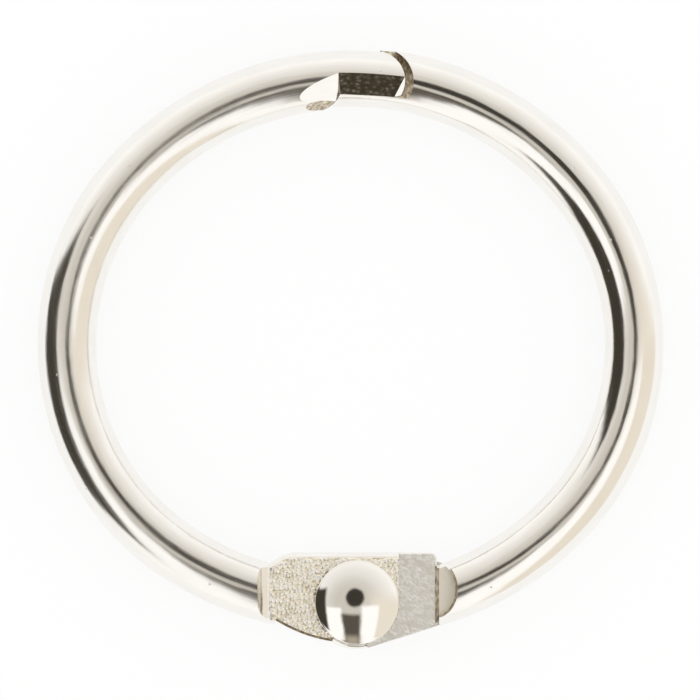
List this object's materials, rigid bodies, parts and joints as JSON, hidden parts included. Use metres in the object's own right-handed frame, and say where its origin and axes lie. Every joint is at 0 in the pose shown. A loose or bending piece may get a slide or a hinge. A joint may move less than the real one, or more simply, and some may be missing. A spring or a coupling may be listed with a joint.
{
  "type": "hinged snap ring",
  "caption": "Round wire ring in hinged halves on a domed rivet, closed by a lapped catch; it holds keys or loose leaves.",
  "frame": {"origin": "centre of the closed ring, on the middle plane of the wire", "axes": "+Z along the ring axis, out of the side with the domed head; -Y to the rivet; +X to the half that swings"},
  "size_m": [0.0308, 0.0294, 0.0032],
  "materials": {
    "nickel_wire": "bright nickel plating on steel wire",
    "nickel_rivet": "bright nickel plating on a steel rivet"
  },
  "bodies": {
    "fixed_half": {"left_half": "nickel_wire", "rivet": "nickel_rivet"},
    "swing_half": {"right_half": "nickel_wire"}
  },
  "joints": [
    {"name": "hinge", "type": "hinge", "parent": "fixed_half", "child": "swing_half", "pos_m": [0.0003, -0.01267, 0], "axis": [0, 0, -1], "range_deg": [0, 80]}
  ]
}
